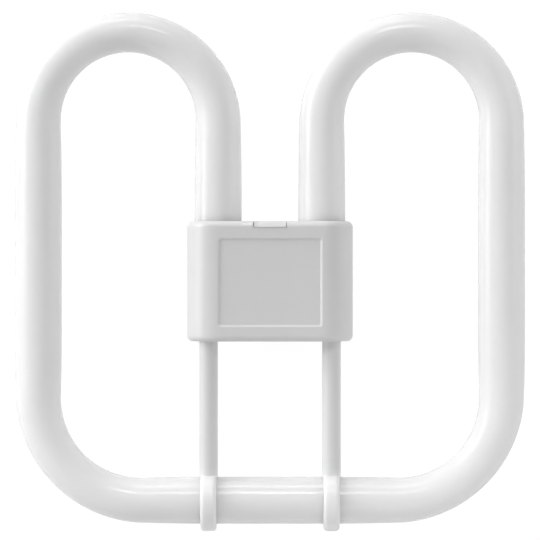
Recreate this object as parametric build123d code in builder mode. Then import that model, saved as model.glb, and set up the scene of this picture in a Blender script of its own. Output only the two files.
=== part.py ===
"""Square double-D compact fluorescent lamp with a two-pin cap, in millimetres.

X runs across the lamp, Y up the lamp and Z out of its front. The origin is midway
between the two contact pins, in the plane of the rim round the pin well.
"""

import os
from math import asin, cos, degrees, pi, radians, sin

from build123d import *

os.makedirs("parts", exist_ok=True)

# Glass tube
tube_diameter = 12.7  # straight runs
crown_diameter = 10.8  # where the U bends are drawn thinnest
elbow_diameter = 11.5  # where the lower corners are drawn thinnest
tube_span = 138.0  # outside to outside across the two side runs
tube_top = 72.7  # top of the U bends above the pins
tube_bottom = 65.6  # lower edge of the bottom run below the pins
leg_spacing = 28.0  # centre lines of the two legs
elbow_radius = 28.5  # centre line of the lower corners
crown_fade = 22.0  # straight length over which a U bend regains its full diameter
elbow_fade = 18.0  # the same beside a lower corner
bend_sections = 11  # cross-sections that a bend is swept through
tube_end_depth = 13.0  # glass held inside the cap
tube_end_round = 2.5
tip_diameter = 3.0  # sealed exhaust tip on each tube end
tip_length = 3.0
tip_round = 1.0
electrode_spread = 5.2  # between the two wires of one tube end

# Cap shells
cap_height = 32.4
cap_wall = 1.75
cap_side_round = 8.0  # front edges at left and right
cap_rear_round = 3.0  # rear edges at left and right
cap_end_round = 1.6  # edges round the upper and lower ends
tube_clear = 0.3  # glass to the inside of the cap
tube_fit = 0.1  # glass to its entries and saddles
tube_rise = 0.55  # glass above the floor of the pin well
saddle_setback = 3.0  # saddle ribs from the tube ends
saddle_drop = 2.0  # saddle ribs stop short of the parting plane
rib_thickness = 1.6
lip_height = 1.4  # locating lip of the base inside the cover
lip_thickness = 0.8
shell_fit = 0.1  # between the two shells
seam_height = 0.3  # groove that shows between the two shells
seam_depth = 0.3
label_width = 28.1  # shallow recess in the front
label_height = 23.9
label_drop = 0.3  # its middle below the middle of the cap
label_depth = 0.35
label_draft = 60.0  # slope of its walls
label_round = 0.9

# Latch tongue of the base, seen in the upper edge of the cover
latch_width = 8.6
latch_side_gap = 0.2
latch_fit = 0.05  # back of the tongue to the cover
latch_chamfer = 1.5
catch_height = 0.85  # ledge of the cover that the tongue holds down
catch_reach = 0.45

# Arms and hooks of the cover
arm_spacing = 33.2
arm_width = 5.0
arm_depth = 4.8  # front of an arm above the parting plane
arm_crown = 2.4  # rounded part of that depth
hook_width = 4.4
hook_wall = 1.9
hook_fit = 0.1  # glass to a hook
hook_lip_angle = 25.0  # how far a hook passes the parting plane
hook_stub_rise = 3.4  # root of a hook, buried in its arm
hook_stub_length = 1.0
hook_round = 1.2  # outer edges of a hook
hook_tip_round = 0.5

# Pin well and contact pins
well_width = 26.0
well_height = 17.0
well_depth = 9.0
well_wall = 1.6
well_round = 3.0
pin_spacing = 8.0
pin_diameter = 2.4
pin_recess = 1.2  # tip behind the rim of the well
pin_tip_round = 0.8
pin_hole_fit = 0.05
collar_diameter = 3.6  # swaged against the floor of the well
collar_height = 0.6
flange_diameter = 4.5  # inside the cap
flange_height = 0.8
tail_diameter = 1.4
tail_length = 3.0

# Starter, capacitor and leads inside the cap
starter_diameter = 7.5
starter_length = 15.0
starter_dome = 3.0
starter_base_round = 0.5
starter_wire_spread = 2.8
starter_shift = 3.5  # middle of the starter to the left of the pins' middle
starter_gap = 1.0  # starter to the pin flanges
starter_fit = 0.1  # starter to its cradles
cradle_wall = 0.8
cradle_setback = 3.5  # cradles from the starter's ends
cradle_drop = 1.5
capacitor_thickness = 4.5
capacitor_length = 7.2
capacitor_height = 5.2
capacitor_round = 0.5
capacitor_gap = 1.75  # capacitor to the starter
lead_diameter = 0.8
lead_bend = 1.2
lead_gap = 0.05  # capacitor legs to the leads that they serve

# Places worked out from the sizes above
tube_radius = tube_diameter / 2
leg_x = leg_spacing / 2
side_x = tube_span / 2 - tube_radius
crown_radius = (side_x - leg_x) / 2
crown_y = tube_top - crown_diameter / 2 - crown_radius
bottom_y = -tube_bottom + tube_radius
elbow_y = bottom_y + elbow_radius
elbow_x = side_x - elbow_radius
well_floor_z = well_depth + well_wall
axis_z = well_floor_z + tube_rise + tube_radius  # plane of the tube, where the shells part
cap_depth = axis_z + tube_radius + tube_clear + cap_wall
cap_width = leg_spacing + tube_diameter + 2 * (tube_clear + cap_wall)
cap_top = cap_height / 2
inside_width = cap_width - 2 * cap_wall
inside_top = cap_top - cap_wall
inside_front = cap_depth - cap_wall
tube_end_y = cap_top - tube_end_depth
saddle_y = tube_end_y + saddle_setback
entry_radius = tube_radius + tube_fit
rebate_width = lip_thickness + shell_fit
hook_inner = tube_radius + hook_fit
hook_outer = hook_inner + hook_wall
pin_x = pin_spacing / 2
pin_radius = pin_diameter / 2
tail_top = well_floor_z + flange_height + tail_length
starter_radius = starter_diameter / 2
starter_y = -(flange_diameter / 2 + starter_gap + starter_radius)
starter_left = -starter_shift - starter_length / 2
starter_right = starter_left + starter_length
cradle_reach = starter_radius + starter_fit + cradle_wall
lead_low_y = starter_y - cradle_reach - lead_diameter
capacitor_x = starter_right + capacitor_gap + capacitor_thickness / 2
wire_high_y = starter_y + starter_wire_spread / 2
wire_low_y = starter_y - starter_wire_spread / 2
leg_low_y = (wire_low_y + lead_low_y) / 2


def save(builder, name):
    builder.part.label = name
    export_step(builder.part, f"parts/{name}.step")


def bend_plane(centre, radius, apex_angle, half_turn, distance):
    """Plane across the tube, at a distance along its centre line from the apex of a bend."""
    turn = max(-half_turn, min(half_turn, distance / radius))
    angle = apex_angle + turn
    outward = Vector(cos(angle), sin(angle))
    along = Vector(-sin(angle), cos(angle))
    origin = centre + outward * radius + along * (distance - turn * radius)
    return Plane(origin=origin, x_dir=(0, 0, 1), z_dir=along)


def drawn_radius(distance, reach, thin_diameter):
    """Tube radius at a distance from the apex of a bend, full again where its reach ends."""
    share = cos(pi / 2 * distance / reach) ** 2
    return (tube_diameter - (tube_diameter - thin_diameter) * share) / 2


def draw_bend(centre, radius, apex_angle, half_turn, fade, thin_diameter):
    """Bend with a straight run at each end, thinnest at its apex, added to the open part."""
    arc = half_turn * radius
    reach = arc + fade
    stops = [
        bend_plane(centre, radius, apex_angle, half_turn, distance).origin
        for distance in (-reach, -arc, 0, arc, reach)
    ]
    with BuildLine() as centre_line:
        Line(stops[0], stops[1])
        ThreePointArc(stops[1], stops[2], stops[3])
        Line(stops[3], stops[4])
    rings = []
    for step in range(bend_sections):
        distance = reach * (2 * step / (bend_sections - 1) - 1)
        with BuildSketch(bend_plane(centre, radius, apex_angle, half_turn, distance)) as ring:
            Circle(drawn_radius(distance, reach, thin_diameter))
        rings.append(ring.sketch)
    sweep(rings, path=centre_line.line, multisection=True)


def draw_run(start, end):
    """Straight run of full diameter between two points of the centre line."""
    along = Vector(*end) - Vector(*start)
    with BuildSketch(Plane(origin=start, z_dir=along)) as ring:
        Circle(tube_radius)
    extrude(ring.sketch, amount=along.length)


# Discharge tube: one half, from the cap to the middle of the bottom run, then its mirror image
crown_centre = Vector(-(leg_x + crown_radius), crown_y, axis_z)
elbow_centre = Vector(-elbow_x, elbow_y, axis_z)
crown_run_y = crown_y - crown_fade
elbow_run_y = elbow_y + elbow_fade
elbow_run_x = elbow_x - elbow_fade

with BuildPart() as discharge_tube:
    # leg, with its rounded end and the sealed exhaust tip
    draw_run((-leg_x, tube_end_y, axis_z), (-leg_x, crown_run_y, axis_z))
    fillet(discharge_tube.edges().group_by(Axis.Y)[0], tube_end_round)
    with BuildSketch(Plane(origin=(-leg_x, tube_end_y, axis_z), z_dir=(0, -1, 0))):
        Circle(tip_diameter / 2)
    extrude(amount=tip_length)
    fillet(discharge_tube.edges().group_by(Axis.Y)[0], tip_round)

    # U bend, side run, lower corner and half of the bottom run
    draw_bend(crown_centre, crown_radius, radians(90), radians(90), crown_fade, crown_diameter)
    draw_run((-side_x, crown_run_y, axis_z), (-side_x, elbow_run_y, axis_z))
    draw_bend(elbow_centre, elbow_radius, radians(225), radians(45), elbow_fade, elbow_diameter)
    draw_run((-elbow_run_x, bottom_y, axis_z), (0, bottom_y, axis_z))
    mirror(about=Plane.YZ)

save(discharge_tube, "discharge_tube")


# Outside of the closed cap, and the space inside it
with BuildPart() as cap_outside:
    with BuildSketch(Plane.XZ) as outside_profile:
        with Locations((0, cap_depth / 2)):
            Rectangle(cap_width, cap_depth)
        fillet(outside_profile.vertices().group_by(Axis.Y)[-1], cap_side_round)
        fillet(outside_profile.vertices().group_by(Axis.Y)[0], cap_rear_round)
    extrude(amount=cap_top, both=True)
    fillet(cap_outside.edges().group_by(Axis.Y)[0], cap_end_round)
    fillet(cap_outside.edges().group_by(Axis.Y)[-1], cap_end_round)

with BuildPart() as cap_inside:
    with BuildSketch(Plane.XZ) as inside_profile:
        with Locations((0, cap_depth / 2)):
            Rectangle(inside_width, cap_depth - 2 * cap_wall)
        fillet(inside_profile.vertices().group_by(Axis.Y)[-1], cap_side_round - cap_wall)
        fillet(inside_profile.vertices().group_by(Axis.Y)[0], cap_rear_round - cap_wall)
    extrude(amount=inside_top, both=True)

# Space for the two tube ends, used by both shells
with BuildPart() as tube_entries:
    with BuildSketch(Plane(origin=(0, tube_end_y, axis_z), x_dir=(1, 0, 0), z_dir=(0, 1, 0))):
        with GridLocations(leg_spacing, 0, 2, 1):
            Circle(entry_radius)
    extrude(amount=2 * tube_end_depth)

# Ribs across the inside, above and below the tube ends
saddle_inner = leg_x - entry_radius - rib_thickness
saddle_span = inside_width / 2 - saddle_inner

with BuildPart() as saddle_ribs:
    add(cap_inside.part)
    with BuildSketch(Plane.XY):
        with Locations((0, saddle_y)):
            with GridLocations(inside_width - saddle_span, 0, 2, 1):
                Rectangle(saddle_span, rib_thickness)
    extrude(amount=cap_depth, mode=Mode.INTERSECT)
    with BuildSketch(Plane.XY.offset(axis_z)):
        Rectangle(inside_width, 2 * inside_top)
    extrude(amount=saddle_drop, both=True, mode=Mode.SUBTRACT)

# Both shells as they lie when closed on the tube
with BuildPart() as cap_shell:
    add(cap_outside.part)
    add(cap_inside.part, mode=Mode.SUBTRACT)
    add(saddle_ribs.part)
    add(tube_entries.part, mode=Mode.SUBTRACT)


# Rear shell with the starter's cradles, the pin well, the locating lip and the latch tongue
with BuildPart() as cap_base:
    add(cap_shell.part)
    split(bisect_by=Plane.XY.offset(axis_z), keep=Keep.BOTTOM)

    # cradles under the starter
    with BuildSketch(Plane.XY.offset(cap_wall)):
        with Locations(
            (starter_left + cradle_setback, starter_y),
            (starter_right - cradle_setback, starter_y),
        ):
            Rectangle(rib_thickness, 2 * cradle_reach)
    extrude(amount=axis_z - cradle_drop - cap_wall)
    with BuildSketch(Plane.YZ.offset(starter_left)):
        with Locations((starter_y, axis_z)):
            Circle(starter_radius + starter_fit)
    extrude(amount=starter_length, mode=Mode.SUBTRACT)

    # pin well
    with BuildSketch():
        RectangleRounded(well_width + 2 * well_wall, well_height + 2 * well_wall, well_round + well_wall)
    extrude(amount=well_floor_z)
    with BuildSketch():
        RectangleRounded(well_width, well_height, well_round)
    extrude(amount=well_depth, mode=Mode.SUBTRACT)
    with BuildSketch(Plane.XY.offset(well_depth)):
        with GridLocations(pin_spacing, 0, 2, 1):
            Circle(pin_radius + pin_hole_fit)
    extrude(amount=well_wall, mode=Mode.SUBTRACT)

    # locating lip, open where the tube enters
    with BuildSketch(Plane.XY.offset(axis_z)):
        Rectangle(inside_width + 2 * lip_thickness, 2 * (inside_top + lip_thickness))
        Rectangle(inside_width, 2 * inside_top, mode=Mode.SUBTRACT)
    extrude(amount=lip_height)
    add(tube_entries.part, mode=Mode.SUBTRACT)

    # latch tongue, grooved for the ledge of the cover
    with BuildSketch(Plane.XY.offset(axis_z)):
        with Locations((0, inside_top + cap_wall / 2)):
            Rectangle(latch_width, cap_wall)
    extrude(amount=cap_depth - axis_z)
    latch_edges = cap_base.edges().filter_by(Axis.X).group_by(Axis.Z)[-1]
    chamfer(latch_edges.sort_by(Axis.Y)[-1], latch_chamfer)
    with BuildSketch(Plane.XY.offset(inside_front - shell_fit)):
        with Locations((0, inside_top + (catch_reach + shell_fit) / 2)):
            Rectangle(latch_width, catch_reach + shell_fit)
    extrude(amount=catch_height + 2 * shell_fit, mode=Mode.SUBTRACT)

save(cap_base, "cap_base")


# One arm's hook, drawn from the side round the axis of the bottom run
hook_start = degrees(asin(hook_stub_rise / hook_outer))
hook_end = 180 + hook_lip_angle
hook_rise_y = bottom_y + hook_outer * cos(radians(hook_start))
stub_y = bottom_y + hook_outer + hook_stub_length

with BuildPart() as hook:
    with BuildSketch(Plane.YZ.offset(-hook_width / 2)):
        with BuildLine():
            inner = CenterArc((bottom_y, axis_z), hook_inner, 0, hook_end)
            outer = CenterArc((bottom_y, axis_z), hook_outer, hook_start, hook_end - hook_start)
            Line(inner @ 1, outer @ 1)
            Polyline(
                inner @ 0,
                (stub_y, axis_z),
                (stub_y, axis_z + hook_stub_rise),
                (hook_rise_y, axis_z + hook_stub_rise),
            )
        make_face()
    extrude(amount=hook_width)
    hook_arcs = hook.edges().filter_by(GeomType.CIRCLE)
    fillet(hook_arcs.sort_by(SortBy.RADIUS)[-2:], hook_round)
    fillet(hook.faces().sort_by(Axis.Z)[0].edges(), hook_tip_round)


# Front shell with the label recess, the latch ledge, the arms and the hooks
with BuildPart() as cap_cover:
    add(cap_shell.part)
    split(bisect_by=Plane.XY.offset(axis_z), keep=Keep.TOP)

    # label recess
    with BuildSketch(Plane.XY.offset(cap_depth)):
        with Locations((0, -label_drop)):
            RectangleRounded(label_width, label_height, label_round)
    extrude(amount=-label_depth, taper=label_draft, mode=Mode.SUBTRACT)

    # groove round the parting plane
    with BuildSketch(Plane.XY.offset(axis_z)):
        Rectangle(cap_width, cap_height)
        RectangleRounded(
            cap_width - 2 * seam_depth,
            cap_height - 2 * seam_depth,
            cap_end_round - seam_depth,
            mode=Mode.SUBTRACT,
        )
    extrude(amount=seam_height, mode=Mode.SUBTRACT)

    # notch for the latch tongue, down to the ledge that the tongue holds
    notch_width = latch_width + 2 * latch_side_gap
    with BuildSketch(Plane.XY.offset(axis_z)):
        with Locations((0, inside_top + cap_wall / 2)):
            Rectangle(notch_width, cap_wall)
    extrude(amount=inside_front - axis_z, mode=Mode.SUBTRACT)
    with BuildSketch(Plane.XY.offset(inside_front)):
        with Locations((0, (inside_top + catch_reach + cap_top) / 2)):
            Rectangle(notch_width, cap_wall - catch_reach)
    extrude(amount=cap_wall, mode=Mode.SUBTRACT)
    with BuildSketch(Plane.XY.offset(inside_front + catch_height)):
        with Locations((0, (inside_top - latch_fit + cap_top) / 2)):
            Rectangle(notch_width, cap_wall + latch_fit)
    extrude(amount=cap_wall, mode=Mode.SUBTRACT)

    # arms with rounded fronts, from the lower wall to the bottom run
    with BuildSketch(Plane(origin=(0, -inside_top, axis_z), x_dir=(1, 0, 0), z_dir=(0, -1, 0))):
        with Locations((0, (arm_depth - arm_crown) / 2)):
            with GridLocations(arm_spacing, 0, 2, 1):
                Rectangle(arm_width, arm_depth - arm_crown)
        with Locations((0, arm_depth - arm_crown)):
            with GridLocations(arm_spacing, 0, 2, 1):
                Ellipse(arm_width / 2, arm_crown)
    extrude(amount=-inside_top - bottom_y - hook_inner)
    with GridLocations(arm_spacing, 0, 2, 1):
        add(hook.part)

    # rebate for the locating lip
    with BuildSketch(Plane.XY.offset(axis_z)):
        Rectangle(inside_width + 2 * rebate_width, 2 * (inside_top + rebate_width))
    extrude(amount=lip_height + shell_fit, mode=Mode.SUBTRACT)

save(cap_cover, "cap_cover")


# Contact pins: tip, shank, collar in the well, flange and solder tail inside the cap
def turn_pin(x):
    with BuildPart() as pin:
        with BuildSketch(Plane(origin=(x, 0, 0), x_dir=(1, 0, 0), z_dir=(0, -1, 0))):
            with BuildLine():
                Polyline(
                    (0, pin_recess),
                    (pin_radius, pin_recess),
                    (pin_radius, well_depth - collar_height),
                    (collar_diameter / 2, well_depth - collar_height),
                    (collar_diameter / 2, well_depth),
                    (pin_radius, well_depth),
                    (pin_radius, well_floor_z),
                    (flange_diameter / 2, well_floor_z),
                    (flange_diameter / 2, well_floor_z + flange_height),
                    (tail_diameter / 2, well_floor_z + flange_height),
                    (tail_diameter / 2, tail_top),
                    (0, tail_top),
                    close=True,
                )
            make_face()
        revolve(axis=Axis((x, 0, 0), (0, 0, 1)))
        fillet(pin.edges().group_by(Axis.Z)[0], pin_tip_round)
    return pin


save(turn_pin(-pin_x), "contact_pin_left")
save(turn_pin(pin_x), "contact_pin_right")


# Glow starter, lying in its cradles
with BuildPart() as starter_bulb:
    with BuildSketch(Plane.YZ.offset(starter_left)):
        with Locations((starter_y, axis_z)):
            Circle(starter_radius)
    extrude(amount=starter_length)
    fillet(starter_bulb.edges().group_by(Axis.X)[0], starter_dome)
    fillet(starter_bulb.edges().group_by(Axis.X)[-1], starter_base_round)

save(starter_bulb, "starter_bulb")


# Capacitor on the floor of the cap, with a leg up to each starter lead
with BuildPart() as suppressor_capacitor:
    with BuildSketch(Plane.XY.offset(well_floor_z)):
        with Locations((capacitor_x, (wire_high_y + leg_low_y) / 2)):
            Rectangle(capacitor_thickness, capacitor_length)
    extrude(amount=capacitor_height)
    fillet(suppressor_capacitor.edges().filter_by(Axis.Z), capacitor_round)
    fillet(suppressor_capacitor.edges().group_by(Axis.Z)[-1], capacitor_round)
    leg_z = well_floor_z + capacitor_height
    with BuildSketch(Plane.XY.offset(leg_z)):
        with Locations((capacitor_x, wire_high_y), (capacitor_x, leg_low_y)):
            Circle(lead_diameter / 2)
    extrude(amount=axis_z - lead_diameter / 2 - lead_gap - leg_z)

save(suppressor_capacitor, "suppressor_capacitor")


# Leads, each along straight runs joined by arcs
def run_lead(name, *route):
    with BuildPart() as lead:
        with BuildLine():
            FilletPolyline(*route, radius=lead_bend)
        with BuildSketch(Plane(origin=route[0], z_dir=(0, -1, 0))):
            Circle(lead_diameter / 2)
        sweep()
    save(lead, name)


inner_wire_x = leg_x - electrode_spread / 2
outer_wire_x = leg_x + electrode_spread / 2

for side, name in ((-1, "pin_lead_left"), (1, "pin_lead_right")):
    run_lead(
        name,
        (side * inner_wire_x, tube_end_y, axis_z),
        (side * inner_wire_x, 0, axis_z),
        (side * pin_x, 0, axis_z),
        (side * pin_x, 0, tail_top),
    )

run_lead(
    "starter_lead_left",
    (-outer_wire_x, tube_end_y, axis_z),
    (-outer_wire_x, lead_low_y, axis_z),
    (capacitor_x, lead_low_y, axis_z),
    (capacitor_x, wire_low_y, axis_z),
    (starter_right, wire_low_y, axis_z),
)
run_lead(
    "starter_lead_right",
    (outer_wire_x, tube_end_y, axis_z),
    (outer_wire_x, wire_high_y, axis_z),
    (starter_right, wire_high_y, axis_z),
)
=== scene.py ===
import math

import bpy
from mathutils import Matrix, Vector


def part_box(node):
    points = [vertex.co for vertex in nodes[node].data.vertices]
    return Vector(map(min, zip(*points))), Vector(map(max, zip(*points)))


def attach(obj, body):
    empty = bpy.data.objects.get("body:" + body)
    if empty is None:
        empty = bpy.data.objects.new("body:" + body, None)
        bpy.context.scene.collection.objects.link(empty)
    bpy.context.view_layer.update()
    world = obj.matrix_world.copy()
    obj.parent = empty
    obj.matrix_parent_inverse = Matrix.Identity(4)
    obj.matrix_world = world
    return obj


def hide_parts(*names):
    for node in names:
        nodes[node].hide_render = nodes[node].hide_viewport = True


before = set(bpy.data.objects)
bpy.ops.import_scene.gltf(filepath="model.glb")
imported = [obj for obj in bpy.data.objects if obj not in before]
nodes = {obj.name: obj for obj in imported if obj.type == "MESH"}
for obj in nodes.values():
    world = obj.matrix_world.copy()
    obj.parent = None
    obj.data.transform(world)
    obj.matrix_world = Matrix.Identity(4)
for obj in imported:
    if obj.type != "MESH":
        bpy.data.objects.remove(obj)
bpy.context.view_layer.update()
mm = 0.001
white = (1.0, 1.0, 1.0, 1.0)
print("frame loaded,", len(nodes), "nodes")


# shader building blocks

def newGroup(name, inputs, outputs):
    # takes a vector and the named values, gives the named values
    group = bpy.data.node_groups.new(name, "ShaderNodeTree")
    group.interface.new_socket(name="Vector", in_out="INPUT", socket_type="NodeSocketVector")
    for label in inputs:
        group.interface.new_socket(name=label, in_out="INPUT", socket_type="NodeSocketFloat")
    for label in outputs:
        group.interface.new_socket(name=label, in_out="OUTPUT", socket_type="NodeSocketFloat")
    return group, group.nodes.new("NodeGroupInput"), group.nodes.new("NodeGroupOutput")


def addMath(tree, operation, first, second):
    node = tree.nodes.new("ShaderNodeMath")
    node.operation = operation
    for socket, value in zip(node.inputs, (first, second)):
        if isinstance(value, (int, float)):
            socket.default_value = value
        else:
            tree.links.new(value, socket)
    return node.outputs[0]


def addSmooth(tree, value, low, high, atLow, atHigh):
    node = tree.nodes.new("ShaderNodeMapRange")
    node.interpolation_type = "SMOOTHSTEP"
    for label, number in (("From Min", low), ("From Max", high), ("To Min", atLow), ("To Max", atHigh)):
        node.inputs[label].default_value = number
    tree.links.new(value, node.inputs["Value"])
    return node.outputs[0]


def addAxes(tree, place):
    axes = tree.nodes.new("ShaderNodeSeparateXYZ")
    tree.links.new(place.outputs["Object"], axes.inputs[0])
    return axes.outputs


# shared shader groups

mottleNoise = {
    "broadDetail": 3.0,
    "fineDetail": 2.0,
    "fineScale": 7.0,   # times the broad noise's scale
    "fineShare": 0.4,
    "middle": 0.7,      # mean of both noises together, so that the shade swings about 1
}
grainNoise = {"detail": 4.0, "roughness": 0.6, "middle": 0.5}


def makeMottle(spec):
    # slow cloudy change of shade, with a finer one laid over it
    group, inside, out = newGroup("cloudyMottle", ["Scale", "Amount"], ["Shade"])
    broad = group.nodes.new("ShaderNodeTexNoise")
    broad.inputs["Detail"].default_value = spec["broadDetail"]
    fine = group.nodes.new("ShaderNodeTexNoise")
    fine.inputs["Detail"].default_value = spec["fineDetail"]
    for node in (broad, fine):
        group.links.new(inside.outputs["Vector"], node.inputs["Vector"])
    group.links.new(inside.outputs["Scale"], broad.inputs["Scale"])
    finer = addMath(group, "MULTIPLY", inside.outputs["Scale"], spec["fineScale"])
    group.links.new(finer, fine.inputs["Scale"])
    overlay = addMath(group, "MULTIPLY", fine.outputs[0], spec["fineShare"])
    both = addMath(group, "ADD", broad.outputs[0], overlay)
    cloud = addMath(group, "SUBTRACT", both, spec["middle"])
    swing = addMath(group, "MULTIPLY", cloud, inside.outputs["Amount"])
    group.links.new(addMath(group, "ADD", swing, 1.0), out.inputs["Shade"])
    return group


def makeGrain(spec):
    # fine pits of a spark-eroded mould, or the ripple of drawn glass at a smaller scale number
    group, inside, out = newGroup("surfaceGrain", ["Scale", "Rough", "Spread"], ["Height", "Roughness"])
    pits = group.nodes.new("ShaderNodeTexNoise")
    pits.inputs["Detail"].default_value = spec["detail"]
    pits.inputs["Roughness"].default_value = spec["roughness"]
    group.links.new(inside.outputs["Vector"], pits.inputs["Vector"])
    group.links.new(inside.outputs["Scale"], pits.inputs["Scale"])
    centred = addMath(group, "SUBTRACT", pits.outputs[0], spec["middle"])
    swing = addMath(group, "MULTIPLY", centred, inside.outputs["Spread"])
    group.links.new(pits.outputs[0], out.inputs["Height"])
    group.links.new(addMath(group, "ADD", swing, inside.outputs["Rough"]), out.inputs["Roughness"])
    return group


mottle = makeMottle(mottleNoise)
grain = makeGrain(grainNoise)
print("shader groups made")


# finishes

finishes = {
    # scales are noise waves a metre, bumpHeight and scatterDepth are in mm
    # scatter is the share of light that passes below the surface, scatterDepth how far it goes
    "phosphorGlass": {"colour": (0.87, 0.87, 0.87), "mottleScale": 60.0, "mottle": 0.05,
                      "grainScale": 220.0, "rough": 0.08, "spread": 0.03, "bump": 0.02, "bumpHeight": 0.05,
                      "metal": 0.0, "ior": 1.5, "gloss": 0.3, "scatter": 0.8, "scatterDepth": 6.0},
    # the hooks get painted light, the same plastic made lighter on them, rising from hookStart to hookFull
    # in mm along Y
    "mouldedCap": {"colour": (0.78, 0.78, 0.78), "mottleScale": 90.0, "mottle": 0.04,
                   "grainScale": 5200.0, "rough": 0.34, "spread": 0.16, "bump": 0.12, "bumpHeight": 0.02,
                   "metal": 0.0, "ior": 1.6, "gloss": 0.5, "scatter": 0.3, "scatterDepth": 1.5,
                   "hookPaintedLight": 1.22, "hookStart": -50.0, "hookFull": -55.0},
    "turnedBrass": {"colour": (0.78, 0.63, 0.36), "mottleScale": 500.0, "mottle": 0.25,
                    "grainScale": 6000.0, "rough": 0.26, "spread": 0.2, "bump": 0.1, "bumpHeight": 0.01,
                    "metal": 1.0, "ior": 1.5, "gloss": 0.5, "scatter": 0.0, "scatterDepth": 0.0},
    "starterEnvelope": {"colour": (0.82, 0.86, 0.86), "mottleScale": 300.0, "mottle": 0.2,
                        "grainScale": 900.0, "rough": 0.1, "spread": 0.06, "bump": 0.03, "bumpHeight": 0.03,
                        "metal": 0.0, "ior": 1.5, "gloss": 0.5, "scatter": 0.4, "scatterDepth": 2.0},
    "capacitorResin": {"colour": (0.12, 0.20, 0.42), "mottleScale": 700.0, "mottle": 0.3,
                       "grainScale": 2500.0, "rough": 0.34, "spread": 0.2, "bump": 0.15, "bumpHeight": 0.03,
                       "metal": 0.0, "ior": 1.55, "gloss": 0.5, "scatter": 0.0, "scatterDepth": 0.0},
    "tinnedWire": {"colour": (0.74, 0.73, 0.70), "mottleScale": 900.0, "mottle": 0.25,
                   "grainScale": 5000.0, "rough": 0.3, "spread": 0.22, "bump": 0.1, "bumpHeight": 0.01,
                   "metal": 1.0, "ior": 1.5, "gloss": 0.5, "scatter": 0.0, "scatterDepth": 0.0},
}


def makeFinish(name):
    look = finishes[name]
    material = bpy.data.materials.new(name)
    material.use_nodes = True
    tree = material.node_tree
    shader = tree.nodes["Principled BSDF"]
    place = tree.nodes.new("ShaderNodeTexCoord")

    cloud = tree.nodes.new("ShaderNodeGroup")
    cloud.node_tree = mottle
    cloud.inputs["Scale"].default_value = look["mottleScale"]
    cloud.inputs["Amount"].default_value = look["mottle"]
    tree.links.new(place.outputs["Object"], cloud.inputs["Vector"])
    shade = cloud.outputs["Shade"]
    if "hookPaintedLight" in look:
        # painted light: the hooks are made lighter than the rest of the same plastic, to stand in for the
        # brighter light that falls on them
        alongY = addAxes(tree, place)["Y"]
        paintedHookLight = addSmooth(tree, alongY, look["hookFull"] * mm, look["hookStart"] * mm, look["hookPaintedLight"], 1.0)
        shade = addMath(tree, "MULTIPLY", shade, paintedHookLight)
    tint = tree.nodes.new("ShaderNodeMix")
    tint.data_type = "RGBA"
    tint.blend_type = "MULTIPLY"
    tint.inputs["Factor"].default_value = 1.0
    tint.inputs["A"].default_value = (*look["colour"], 1.0)
    tree.links.new(shade, tint.inputs["B"])
    tree.links.new(tint.outputs["Result"], shader.inputs["Base Color"])

    pits = tree.nodes.new("ShaderNodeGroup")
    pits.node_tree = grain
    pits.inputs["Scale"].default_value = look["grainScale"]
    pits.inputs["Rough"].default_value = look["rough"]
    pits.inputs["Spread"].default_value = look["spread"]
    tree.links.new(place.outputs["Object"], pits.inputs["Vector"])
    tree.links.new(pits.outputs["Roughness"], shader.inputs["Roughness"])
    bump = tree.nodes.new("ShaderNodeBump")
    bump.inputs["Strength"].default_value = look["bump"]
    bump.inputs["Distance"].default_value = look["bumpHeight"] * mm
    tree.links.new(pits.outputs["Height"], bump.inputs["Height"])
    tree.links.new(bump.outputs["Normal"], shader.inputs["Normal"])

    shader.inputs["Metallic"].default_value = look["metal"]
    shader.inputs["IOR"].default_value = look["ior"]
    shader.inputs["Specular IOR Level"].default_value = look["gloss"]
    shader.inputs["Subsurface Weight"].default_value = look["scatter"]
    shader.inputs["Subsurface Radius"].default_value = (1.0, 1.0, 1.0)
    shader.inputs["Subsurface Scale"].default_value = look["scatterDepth"] * mm
    return material


materials = {name: makeFinish(name) for name in finishes}
print("finishes made")


# bent glass tube, one half drawn ring by ring from its sealed end, then mirrored

tubeLow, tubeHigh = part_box("discharge_tube")
planeZ = (tubeLow.z + tubeHigh.z) / 2
lampTube = {
    "diameter": tubeHigh.z - tubeLow.z,
    "crownDiameter": 10.8 * mm,   # top of the U bends
    "elbowDiameter": 11.5 * mm,   # middle of the lower corners
    "legSpacing": 28.0 * mm,
    "elbowRadius": 28.5 * mm,
    "crownFade": 22.0 * mm,       # straight glass over which a bend regains its bore
    "elbowFade": 18.0 * mm,
    "tipDiameter": 3.0 * mm,
    "tipLength": 3.0 * mm,
    "tipRound": 1.0 * mm,
    "endY": 3.2 * mm,
    "endRound": 2.5 * mm,
    "ringPoints": 72,
    "crownSteps": 60,
    "elbowSteps": 36,
    "fadeSteps": 10,
    "roundSteps": 6,
    "leastTurn": 1e-6,            # smaller changes of heading and radius are passed over
    "leastGrowth": 1e-9,
    "mirrorWeld": 0.01 * mm,
    "pointWeld": 0.002 * mm,
    "smoothAngle": 40.0,
}


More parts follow.
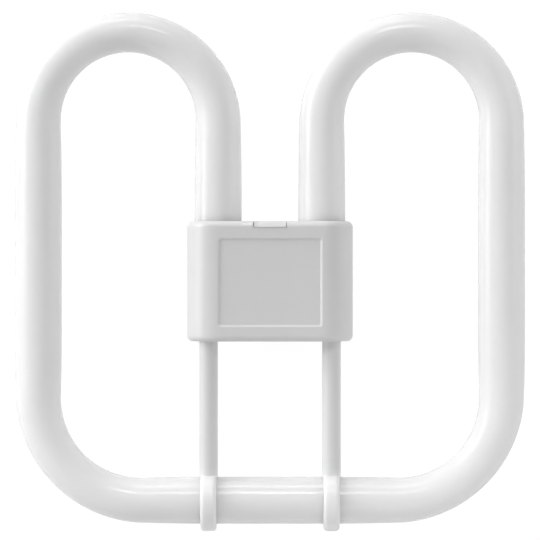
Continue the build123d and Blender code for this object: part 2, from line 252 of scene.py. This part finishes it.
def tubeStations(spec):
    # (x, y, heading, radius) of each ring on the left half
    full = spec["diameter"] / 2
    tip = spec["tipDiameter"] / 2
    legX = -spec["legSpacing"] / 2
    sideX = tubeLow.x + full
    crownRadius = (legX - sideX) / 2
    crownY = tubeHigh.y - spec["crownDiameter"] / 2 - crownRadius
    bottomY = tubeLow.y + full
    upward = math.pi / 2
    downward = math.pi * 1.5
    rightward = math.pi * 2
    rings = []

    def roundEnd(startY, rim, corner):
        # quarter round from a flat end out to the rim
        for i in range(spec["roundSteps"] + 1):
            a = math.pi / 2 * i / spec["roundSteps"]
            rings.append((legX, startY + corner * (1 - math.cos(a)), upward,
                          rim - corner * (1 - math.sin(a))))

    def walk(start, heading, turnRadius, turn, fade, thin, steps):
        # straight fade, bend to the left, straight fade, thinnest half way
        arc = turnRadius * turn
        reach = arc / 2 + fade
        x, y = start
        spots = [-reach + fade * i / spec["fadeSteps"] for i in range(1, spec["fadeSteps"])]
        spots += [-arc / 2 + arc * i / steps for i in range(steps + 1)]
        spots += [arc / 2 + fade * i / spec["fadeSteps"] for i in range(1, spec["fadeSteps"] + 1)]
        cx = x + fade * math.cos(heading) - turnRadius * math.sin(heading)
        cy = y + fade * math.sin(heading) + turnRadius * math.cos(heading)
        for spot in spots:
            angle = heading + min(max((spot + arc / 2) / arc, 0.0), 1.0) * turn
            px = cx + turnRadius * math.sin(angle)
            py = cy - turnRadius * math.cos(angle)
            spare = spot - min(max(spot, -arc / 2), arc / 2)
            share = math.cos(math.pi / 2 * spot / reach) ** 2
            rings.append((px + spare * math.cos(angle), py + spare * math.sin(angle), angle,
                          full - (full - thin / 2) * share))

    # exhaust tip and sealed end, inside the cap
    roundEnd(spec["endY"] - spec["tipLength"], tip, spec["tipRound"])
    rings.append((legX, spec["endY"], upward, tip))
    roundEnd(spec["endY"], full, spec["endRound"])

    legTop = crownY - spec["crownFade"]
    rings.append((legX, legTop, upward, full))
    walk((legX, legTop), upward, crownRadius, math.pi,
         spec["crownFade"], spec["crownDiameter"], spec["crownSteps"])
    sideEnd = bottomY + spec["elbowRadius"] + spec["elbowFade"]
    rings.append((sideX, sideEnd, downward, full))
    walk((sideX, sideEnd), downward, spec["elbowRadius"], math.pi / 2,
         spec["elbowFade"], spec["elbowDiameter"], spec["elbowSteps"])
    rings.append((0.0, bottomY, rightward, full))
    return rings


def drawTube(spec):
    rings = tubeStations(spec)
    x, y, heading, radius = rings[0]
    bpy.ops.object.select_all(action="DESELECT")
    bpy.ops.mesh.primitive_circle_add(vertices=spec["ringPoints"], radius=radius, fill_type="NGON",
                                      location=(x, y, planeZ), rotation=(math.pi / 2, 0, 0))
    tube = bpy.context.object
    tube.name = "glass_tube"
    tube.data.name = "glass_tube"
    bpy.ops.object.transform_apply(location=True, rotation=True, scale=True)
    bpy.ops.object.mode_set(mode="EDIT")
    bpy.ops.mesh.select_mode(type="FACE")
    bpy.ops.mesh.select_all(action="SELECT")
    for nextX, nextY, nextHeading, nextRadius in rings[1:]:
        centre = (nextX, nextY, planeZ)
        bpy.ops.mesh.extrude_region_move(TRANSFORM_OT_translate={"value": (nextX - x, nextY - y, 0.0)})
        if abs(nextHeading - heading) > spec["leastTurn"]:
            bpy.ops.transform.rotate(value=heading - nextHeading, orient_axis="Z", center_override=centre)
        if abs(nextRadius - radius) > spec["leastGrowth"]:
            bpy.ops.transform.resize(value=(nextRadius / radius,) * 3, center_override=centre)
        x, y, heading, radius = nextX, nextY, nextHeading, nextRadius
    bpy.ops.mesh.delete(type="ONLY_FACE")  # open at the mirror plane
    bpy.ops.object.mode_set(mode="OBJECT")

    mirror = tube.modifiers.new("otherHalf", "MIRROR")
    mirror.use_axis = (True, False, False)
    mirror.merge_threshold = spec["mirrorWeld"]
    bpy.ops.object.modifier_apply(modifier=mirror.name)
    bpy.ops.object.mode_set(mode="EDIT")
    bpy.ops.mesh.select_all(action="SELECT")
    bpy.ops.mesh.remove_doubles(threshold=spec["pointWeld"])
    bpy.ops.mesh.normals_make_consistent(inside=False)
    bpy.ops.object.mode_set(mode="OBJECT")
    bpy.ops.object.shade_smooth_by_angle(angle=math.radians(spec["smoothAngle"]))
    return tube


glassTube = drawTube(lampTube)
glassTube.data.materials.append(materials["phosphorGlass"])
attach(glassTube, "root")
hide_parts("discharge_tube")
print("tube drawn,", len(glassTube.data.polygons), "faces")


# moulded cap, pins and inner pieces come over from the frame

cadFinishes = {
    "cap_cover": "mouldedCap",
    "cap_base": "mouldedCap",
    "contact_pin_left": "turnedBrass",
    "contact_pin_right": "turnedBrass",
    "starter_bulb": "starterEnvelope",
    "suppressor_capacitor": "capacitorResin",
    "pin_lead_left": "tinnedWire",
    "pin_lead_right": "tinnedWire",
    "starter_lead_left": "tinnedWire",
    "starter_lead_right": "tinnedWire",
}
for name, finish in cadFinishes.items():
    nodes[name].material_slots[0].material = materials[finish]
print("finishes set on the frame")


# floor, lights and camera

studio = {
    "floorSize": 8.0,
    "floorSeen": (0.90, 0.18),   # glow and reflectance met by the camera
    "floorCast": (0.35, 0.58),   # the same as thrown on the lamp
    "sky": 0.265,
}
panels = {
    # compass is counted from +X and tilt from overhead, in degrees; fade is the faded share of the sheet
    "left": {"compass": 158.0, "tilt": 72.0, "distance": 1.0, "width": 1.50, "height": 0.80,
             "radiance": 5.5, "fade": 1.0, "hardTop": False},
    "leftLow": {"compass": 158.0, "tilt": 78.0, "distance": 1.0, "width": 1.30, "height": 0.48,
                "radiance": 3.6, "fade": 1.0, "hardTop": False},
    # its hard top draws the white line on the bottom run
    "back": {"compass": 90.0, "tilt": 42.0, "distance": 1.0, "width": 0.42, "height": 0.30,
             "radiance": 10.5, "fade": 0.9, "hardTop": True},
    "backLow": {"compass": 97.0, "tilt": 75.0, "distance": 1.0, "width": 1.00, "height": 0.56,
                "radiance": 4.8, "fade": 1.0, "hardTop": False},
    "rightFill": {"compass": 20.0, "tilt": 70.0, "distance": 0.26, "width": 0.30, "height": 0.18,
                  "radiance": 1.85, "fade": 1.0, "hardTop": False},
    "frontFill": {"compass": 306.0, "tilt": 48.0, "distance": 0.20, "width": 0.26, "height": 0.20,
                  "radiance": 1.85, "fade": 1.0, "hardTop": False},
    "cornerFill": {"compass": 230.0, "tilt": 58.0, "distance": 0.20, "width": 0.24, "height": 0.17,
                   "radiance": 1.0, "fade": 1.0, "hardTop": False},
}


def makeFloor(spec):
    bpy.ops.object.select_all(action="DESELECT")
    bpy.ops.mesh.primitive_plane_add(size=spec["floorSize"], location=(0, 0, 0))
    floor = bpy.context.object
    floor.name = "floor"
    material = bpy.data.materials.new("paleFloor")
    material.use_nodes = True
    tree = material.node_tree
    shader = tree.nodes["Principled BSDF"]
    shader.inputs["Specular IOR Level"].default_value = 0.0
    shader.inputs["Emission Color"].default_value = white
    rays = tree.nodes.new("ShaderNodeLightPath")
    for socket, seen, cast in zip(("Emission Strength", "Base Color"), spec["floorSeen"], spec["floorCast"]):
        extra = addMath(tree, "MULTIPLY", rays.outputs["Is Camera Ray"], seen - cast)
        tree.links.new(addMath(tree, "ADD", extra, cast), shader.inputs[socket])
    # seen from underneath the floor is clear, so the pins can be looked at
    clear = tree.nodes.new("ShaderNodeBsdfTransparent")
    sides = tree.nodes.new("ShaderNodeMixShader")
    facing = tree.nodes.new("ShaderNodeNewGeometry")
    tree.links.new(facing.outputs["Backfacing"], sides.inputs[0])
    tree.links.new(shader.outputs[0], sides.inputs[1])
    tree.links.new(clear.outputs[0], sides.inputs[2])
    tree.links.new(sides.outputs[0], tree.nodes["Material Output"].inputs["Surface"])
    floor.data.materials.append(material)


def aim(compass, tilt):
    a, t = math.radians(compass), math.radians(tilt)
    return Vector((math.cos(a) * math.sin(t), math.sin(a) * math.sin(t), math.cos(t)))


def makePanel(name, spec):
    # glowing sheet that fades towards its edges, except a hard upper one, and lets other light through
    away = aim(spec["compass"], spec["tilt"])
    turned = away.to_track_quat("Z", "Y").to_euler()
    bpy.ops.object.select_all(action="DESELECT")
    bpy.ops.mesh.primitive_plane_add(size=1.0, location=away * spec["distance"], rotation=turned)
    panel = bpy.context.object
    panel.name = "panel_" + name
    panel.scale = (spec["width"], spec["height"], 1.0)
    panel.visible_camera = False
    material = bpy.data.materials.new("glow_" + name)
    material.use_nodes = True
    tree = material.node_tree
    tree.nodes.remove(tree.nodes["Principled BSDF"])
    axes = addAxes(tree, tree.nodes.new("ShaderNodeTexCoord"))
    half = 0.5  # the sheet's own coordinates run from -half to half
    across = addMath(tree, "ABSOLUTE", axes["X"], 0.0)
    acrossFade = spec["fade"] * half
    if spec["hardTop"]:
        down = addMath(tree, "MULTIPLY", axes["Y"], -1.0)
        downFade = spec["fade"]
    else:
        down = addMath(tree, "ABSOLUTE", axes["Y"], 0.0)
        downFade = spec["fade"] * half
    sideways = addSmooth(tree, across, half - acrossFade, half, 1.0, 0.0)
    downwards = addSmooth(tree, down, half - downFade, half, 1.0, 0.0)
    strength = addMath(tree, "MULTIPLY", addMath(tree, "MULTIPLY", sideways, downwards), spec["radiance"])
    glow = tree.nodes.new("ShaderNodeEmission")
    tree.links.new(strength, glow.inputs["Strength"])
    clear = tree.nodes.new("ShaderNodeBsdfTransparent")
    both = tree.nodes.new("ShaderNodeAddShader")
    tree.links.new(glow.outputs[0], both.inputs[0])
    tree.links.new(clear.outputs[0], both.inputs[1])
    tree.links.new(both.outputs[0], tree.nodes["Material Output"].inputs["Surface"])
    panel.data.materials.append(material)


def makeSky(strength):
    world = bpy.data.worlds.new("studio")
    bpy.context.scene.world = world
    world.use_nodes = True
    background = world.node_tree.nodes["Background"]
    background.inputs["Color"].default_value = white
    background.inputs["Strength"].default_value = strength


makeFloor(studio)
for name, spec in panels.items():
    makePanel(name, spec)
makeSky(studio["sky"])

# straight down on the tube's plane, where the picture is as wide as width
shot = {"distance": 0.9, "centreY": 3.04 * mm, "width": 146.1 * mm, "sensor": 36.0}
bpy.ops.object.camera_add(location=(0, shot["centreY"], planeZ + shot["distance"]), rotation=(0, 0, 0))
camera = bpy.context.object
camera.data.sensor_width = shot["sensor"]
camera.data.lens = shot["sensor"] * shot["distance"] / shot["width"]
bpy.context.scene.camera = camera
bpy.context.scene.view_settings.view_transform = "Standard"
print("studio set")
